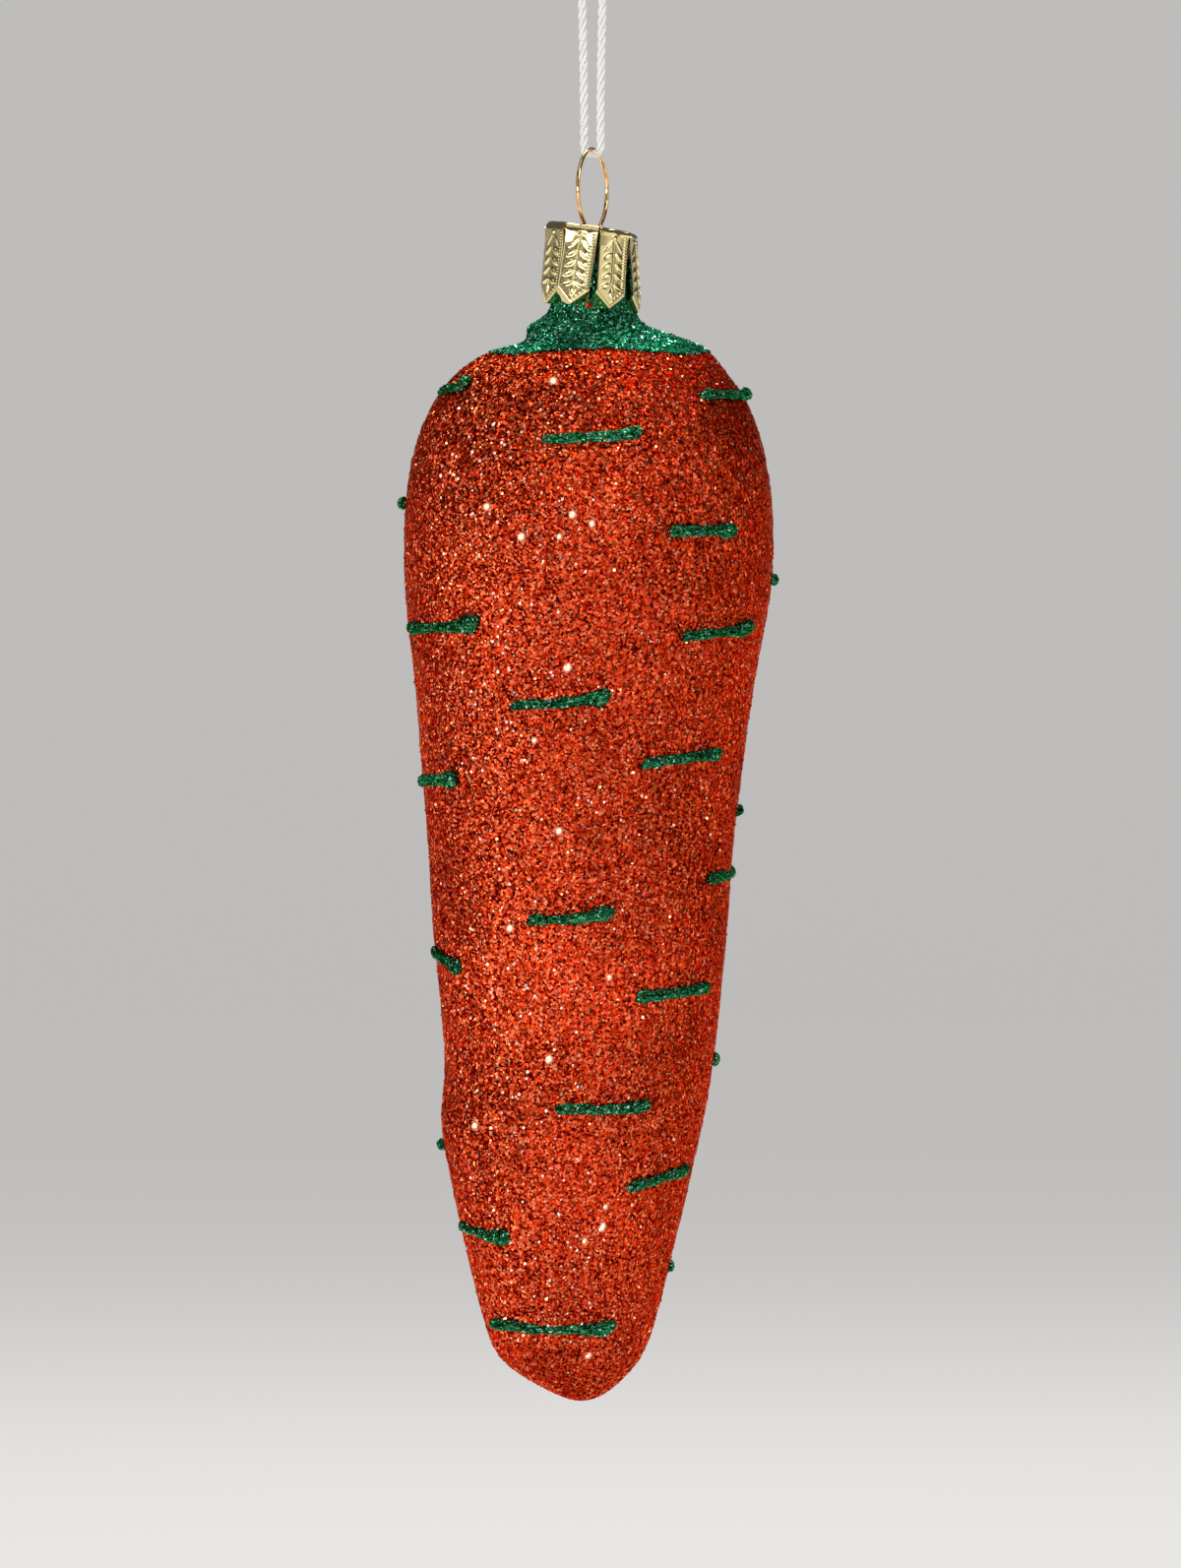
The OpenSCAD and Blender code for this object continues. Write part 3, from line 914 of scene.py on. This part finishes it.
class Flakes:
    """Flat flakes, each with a point sunk in the glue, and a mark that says what it is."""

    def __init__(self, seed):
        self.draw = random.Random(seed)
        self.points = []
        self.faces = []
        self.marks = []

    def spread(self, amount):
        return Vector((self.draw.gauss(0, amount), self.draw.gauss(0, amount), self.draw.gauss(0, amount)))

    def add(self, middle, up, radius, mark):
        side = up.orthogonal().normalized()
        cross = up.cross(side)
        turn = self.draw.uniform(0, math.pi)
        first = len(self.points)
        for k in range(FLAKE_SIDES):
            angle = turn + 2 * math.pi * k / FLAKE_SIDES
            self.points.append(middle + (side * math.cos(angle) + cross * math.sin(angle)) * radius)
        point = len(self.points)
        self.points.append(middle - up * radius * FLAKE_DEPTH)
        self.marks += [mark] * (FLAKE_SIDES + 1)
        self.faces.append(tuple(range(first, point)))
        for k in range(FLAKE_SIDES):
            self.faces.append((first + (k + 1) % FLAKE_SIDES, first + k, point))

    def scatter(self, piece, count):
        """Strews flakes at random tilts over a piece, but not on the neck."""
        faces = [face for face in piece.data.polygons if face.center.z < FLAKES_TOP]
        for face in self.draw.choices(faces, [face.area for face in faces], k=count):
            radius = FLAKE_R * self.draw.uniform(*FLAKE_SIZES)
            up = (face.normal + self.spread(FLAKE_TILT)).normalized()
            place = face.center + face.normal * radius * self.draw.uniform(*FLAKE_LIFTS)
            self.add(place, up, radius, LOOSE_MARK)

    def facing_key(self, surface, angle, height):
        """A place on a surface, and the way a flake there faces to flash the main softbox to the front."""
        out = Vector((math.sin(math.radians(angle)), -math.cos(math.radians(angle)), 0))
        place = surface.ray_cast(out * OUTSIDE + Vector((0, 0, height * MM)), -out)[0]
        to_eye = (bpy.context.scene.camera.location - place).normalized()
        return place, (to_eye + (Vector(KEY_PLACE) - place).normalized()).normalized()

    def glints(self, piece):
        """Sets many small sparks, and a few large flakes that face the main softbox among small ones."""
        surface = tree_of(piece)
        for _ in range(SPARKS):
            angle = max(SPARK_ENDS[0], min(SPARK_ENDS[1], self.draw.gauss(SPARK_MIDDLE, SPARK_SPREAD)))
            place, up = self.facing_key(surface, angle, self.draw.uniform(*SPARK_HEIGHTS))
            radius = self.draw.uniform(*SPARK_SIZES) * MM
            way = (up + self.spread(SPARK_TILT)).normalized()
            self.add(place + up * SPARK_LIFT, way, radius, self.draw.uniform(*SPARK_MARKS))
        for angle, height, size in GLINTS:
            place, up = self.facing_key(surface, angle, height)
            self.add(place + up * GLINT_LIFT, up, size * MM, GLINT_MARK)
            self.add(place + up * HALO_LIFT, up, size * MM + HALO_WIDTH, HALO_MARK)
            for _ in range(NEAR_COUNT):
                near = surface.find_nearest(place + self.spread(NEAR_SPREAD))[0]
                self.add(near + up * NEAR_LIFT, (up + self.spread(NEAR_TILT)).normalized(), NEAR_R, HALO_MARK)

    def piece(self, name):
        """All flakes as one mesh that carries their marks."""
        flakes = mesh_piece(name, self.points, self.faces)
        mark = flakes.data.attributes.new("flake", "FLOAT", "POINT")
        mark.data.foreach_set("value", self.marks)
        return flakes


def fray(piece, reach, draw):
    """Pulls the open edges of a wall out and in at random, as if strewn."""
    edit(piece)
    mesh = bmesh.from_edit_mesh(piece.data)
    for vertex in mesh.verts:
        inward = [edge.other_vert(vertex) for edge in vertex.link_edges if not edge.is_boundary]
        if vertex.is_boundary and inward:
            way = (vertex.co - inward[0].co).normalized()
            vertex.co += way * draw.uniform(-0.4, 1) * reach
    bmesh.update_edit_mesh(piece.data)
    leave_edit()


def boundary_loops(mesh):
    """The open edges of a mesh, sorted into loops, in the same order each time."""
    left = dict.fromkeys(edge for edge in mesh.edges if edge.is_boundary)
    loops = []
    while left:
        loop, queue = [], [left.popitem()[0]]
        while queue:
            edge = queue.pop()
            loop.append(edge)
            for vertex in edge.verts:
                for other in vertex.link_edges:
                    if other in left:
                        left.pop(other)
                        queue.append(other)
        loops.append(loop)
    return loops


def close_walls(piece):
    """Bridges the open edges of an outer and an inner wall, the nearest two at a time."""
    edit(piece)
    bpy.ops.mesh.select_mode(type="EDGE")
    while True:
        mesh = bmesh.from_edit_mesh(piece.data)
        loops = boundary_loops(mesh)
        if len(loops) < 2:
            break
        heights = [sum(edge.verts[0].co.z for edge in loop) / len(loop) for loop in loops]
        nearest = min(range(1, len(loops)), key=lambda k: abs(heights[k] - heights[0]))
        bpy.ops.mesh.select_all(action="DESELECT")
        for edge in loops[0] + loops[nearest]:
            edge.select_set(True)
        bmesh.update_edit_mesh(piece.data)
        bpy.ops.mesh.bridge_edge_loops()
    leave_edit()


def glitter_coat(node, name, rough, loose_count, has_glints, seed):
    """A coat whose outer wall is a dense field of jittered facets, with loose flakes on it."""
    glass = tree_of(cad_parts["glass_shell"])
    inner = copy_of(node, name)

    def is_outer(vertex):
        return glass.find_nearest(vertex.co)[3] > COAT_LEAST

    edit(inner)
    pick(inner, is_outer)
    bpy.ops.mesh.separate(type="SELECTED")
    pick(inner, is_outer)
    bpy.ops.mesh.delete(type="VERT")
    leave_edit()
    outer = next(piece for piece in bpy.context.selected_objects if piece != inner)
    modify(outer, "SUBSURF", levels=1, render_levels=1)
    edit(outer)
    pick_all()
    bpy.ops.mesh.subdivide(number_cuts=COAT_CUTS)
    leave_edit()
    draw = random.Random(seed)
    for vertex in outer.data.vertices:
        shake = Vector((draw.uniform(-1, 1), draw.uniform(-1, 1), draw.uniform(-1, 1)))
        vertex.co += shake * rough
    fray(outer, COAT_FRAY, draw)
    cut_facets(outer)
    flakes = Flakes(seed + 1)
    flakes.scatter(outer, loose_count)
    if has_glints:
        flakes.glints(outer)
    loose = flakes.piece("loose_flakes")
    coat = join([inner, outer], name)
    close_walls(coat)
    face_out(coat)
    coat = join([coat, loose], name)
    only(coat)
    bpy.ops.object.shade_flat()
    return coat


def hump(share, middle, width):
    """A smooth swelling round a middle, 1 at its top."""
    return math.exp(-(((share - middle) / width) ** 2))


def piped_bead(node, name, seed):
    """A piped dash with a wavering width and blobbed, hooked ends, all grains."""
    draw = random.Random(seed)
    bead = copy_of(node, name)
    modify(bead, "SUBSURF", levels=2, render_levels=2)
    angles = [math.atan2(vertex.co.x, -vertex.co.y) for vertex in bead.data.vertices]
    if max(angles) - min(angles) > math.pi:
        angles = [angle % (2 * math.pi) for angle in angles]
    low, high = min(angles), max(angles)
    left_blob = draw.uniform(0.0, 0.2)
    right_blob = FAT_ENDS.get(name, draw.uniform(0.05, 0.25))
    left_hook = draw.uniform(0, 0.3)
    right_hook = draw.uniform(0.1, 0.45)
    offset = draw.uniform(0, 50)
    moves = []
    for vertex, angle in zip(bead.data.vertices, angles):
        share = (angle - low) / (high - low)
        swell = DASH_SWELL + left_blob * hump(share, 0.08, 0.12) + right_blob * hump(share, 0.92, 0.14)
        swell += DASH_WAVER * noise.noise(vertex.co / (DASH_WAVER_SPACING * MM) + Vector((offset, 0, 0)))
        swell += draw.uniform(-DASH_GRAIN, DASH_GRAIN)
        up = right_hook * max(0, 1 - (1 - share) / HOOK_SHARE) ** 2
        down = left_hook * max(0, 1 - share / HOOK_SHARE) ** 2
        moves.append(vertex.normal * swell * MM + Vector((0, 0, (up - down) * MM)))
    for vertex, move in zip(bead.data.vertices, moves):
        vertex.co += move
    cut_facets(bead)
    only(bead)
    bpy.ops.object.shade_flat()
    return bead


# Floor and light


def floor_finish():
    """Pale paper that keeps its shadows and glows only where it is looked at, mirrored or seen through."""
    finish = Finish("floor", Roughness=0.9, Specular_IOR_Level=0.1, Emission_Strength=FLOOR_GLOW)
    cloud = finish.noise(finish.place(), 3.0)
    rays = ("Is Camera Ray", "Is Glossy Ray", "Is Transmission Ray")
    camera_ray, glossy_ray, clear_ray = [finish.node("LightPath", {}, {}, ray) for ray in rays]
    seen = camera_ray + glossy_ray + clear_ray
    paper = finish.ramp(cloud, [(0.3, (0.8, 0.79, 0.77)), (0.7, (0.83, 0.82, 0.81))])
    finish.feed(
        finish.shader,
        {
            "Base Color": finish.mix(FLOOR_DIM * (camera_ray + clear_ray), paper, (0, 0, 0, 1)),
            "Emission Color": finish.mix(seen, (0, 0, 0, 1), (1, 0.985, 0.96, 1)),
        },
    )
    return finish.material


def make_stage(finish):
    """A round floor whose rim turns up into a wall."""
    select_nothing()
    middle = (0, 0, FLOOR_Z + STAGE_H / 2)
    bpy.ops.mesh.primitive_cylinder_add(vertices=STAGE_SIDES, radius=STAGE_R, depth=STAGE_H, location=middle)
    floor = bpy.context.object
    floor.name = "floor"
    settle(floor)
    edit(floor)
    pick(floor, lambda vertex: vertex.co.z > 0)
    bpy.ops.mesh.delete(type="ONLY_FACE")
    pick(floor, lambda vertex: vertex.co.z < 0)
    bpy.ops.mesh.bevel(offset=STAGE_BEND, segments=STAGE_BEND_STEPS, affect="EDGES")
    pick_all()
    bpy.ops.mesh.flip_normals()
    leave_edit()
    only(floor)
    bpy.ops.object.shade_smooth()
    floor.data.materials.append(finish)


def softbox(name, place, size, power):
    light = bpy.data.lights.new(name, "AREA")
    light.shape = "RECTANGLE"
    light.size, light.size_y = size
    light.energy = power
    box = bpy.data.objects.new(name, light)
    box.location = place
    aim = LIGHT_AIM - Vector(place)
    box.rotation_euler = aim.to_track_quat("-Z", "Y").to_euler()
    bpy.context.scene.collection.objects.link(box)


def make_light():
    world = bpy.context.scene.world or bpy.data.worlds.new("world")
    bpy.context.scene.world = world
    world.use_nodes = True
    background = world.node_tree.nodes["Background"]
    background.inputs["Color"].default_value = (0.95, 0.97, 1, 1)
    background.inputs["Strength"].default_value = WORLD_GLOW
    for name, place, size, power in SOFTBOXES:
        softbox(name, place, size, power)


bpy.context.scene.view_settings.view_transform = "Standard"
make_camera()
make_cord(cord_finish())
make_wire(wire_finish())
make_cap(cap_finish())
make_glass(glass_finish())
orange_coat = glitter_coat(
    "orange_glitter_coat", "orange_glitter", rough=0.1 * MM, loose_count=5500, has_glints=True, seed=3
)
dress(orange_coat, orange_finish(), "carrot", "orange_glitter_coat")
green_coat = glitter_coat(
    "green_glitter_crown", "green_glitter", rough=0.06 * MM, loose_count=700, has_glints=False, seed=7
)
green_glitter = green_finish("green_glitter", CROWN_SHADE)
dress(green_coat, green_glitter, "carrot", "green_glitter_crown")
piped_glue = green_finish("piped_glue", DASH_SHADE)
dashes = sorted(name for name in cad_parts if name.startswith("dash_"))
for number, node in enumerate(dashes):
    dress(piped_bead(node, "bead" + node[4:], 100 + number), piped_glue, "carrot", node)
make_stage(floor_finish())
make_light()
